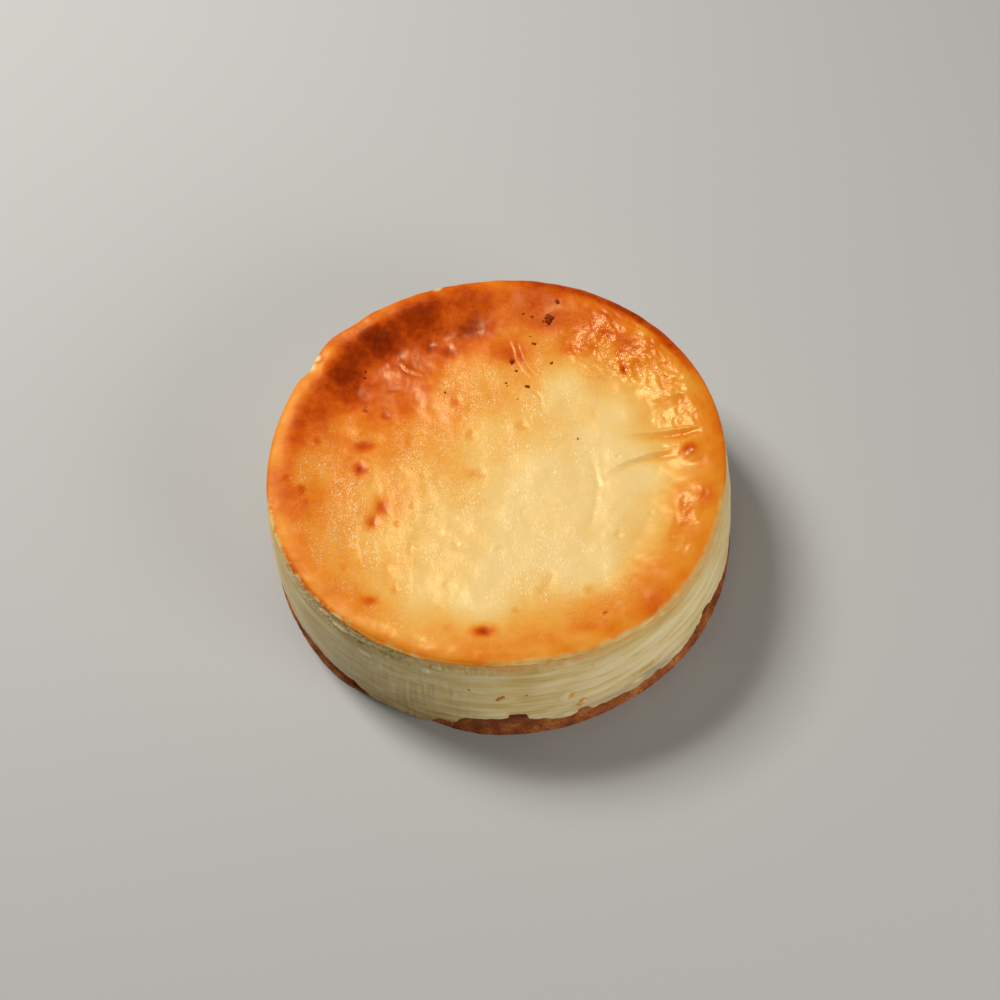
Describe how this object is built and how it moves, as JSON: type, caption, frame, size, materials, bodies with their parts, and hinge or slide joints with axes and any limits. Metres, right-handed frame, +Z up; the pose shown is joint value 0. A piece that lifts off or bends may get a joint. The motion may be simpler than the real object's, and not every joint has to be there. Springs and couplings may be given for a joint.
{
  "type": "new york cheesecake",
  "caption": "Whole round baked cheesecake: cream-cheese filling with a dished, browned top over a pressed biscuit base.",
  "frame": {"origin": "middle of the flat underside, on the table", "axes": "+Z up through the top of the cake, -Y towards the front, +X to the right"},
  "size_m": [0.1993, 0.1996, 0.054],
  "materials": {
    "cheese": "baked cream cheese: pale custard, amber to red-brown skin towards the rim, moist sheen",
    "biscuit": "matt, finely crumbly baked biscuit"
  },
  "bodies": {
    "root": {"cheese_filling": "cheese", "biscuit_base": "biscuit"}
  },
  "joints": []
}
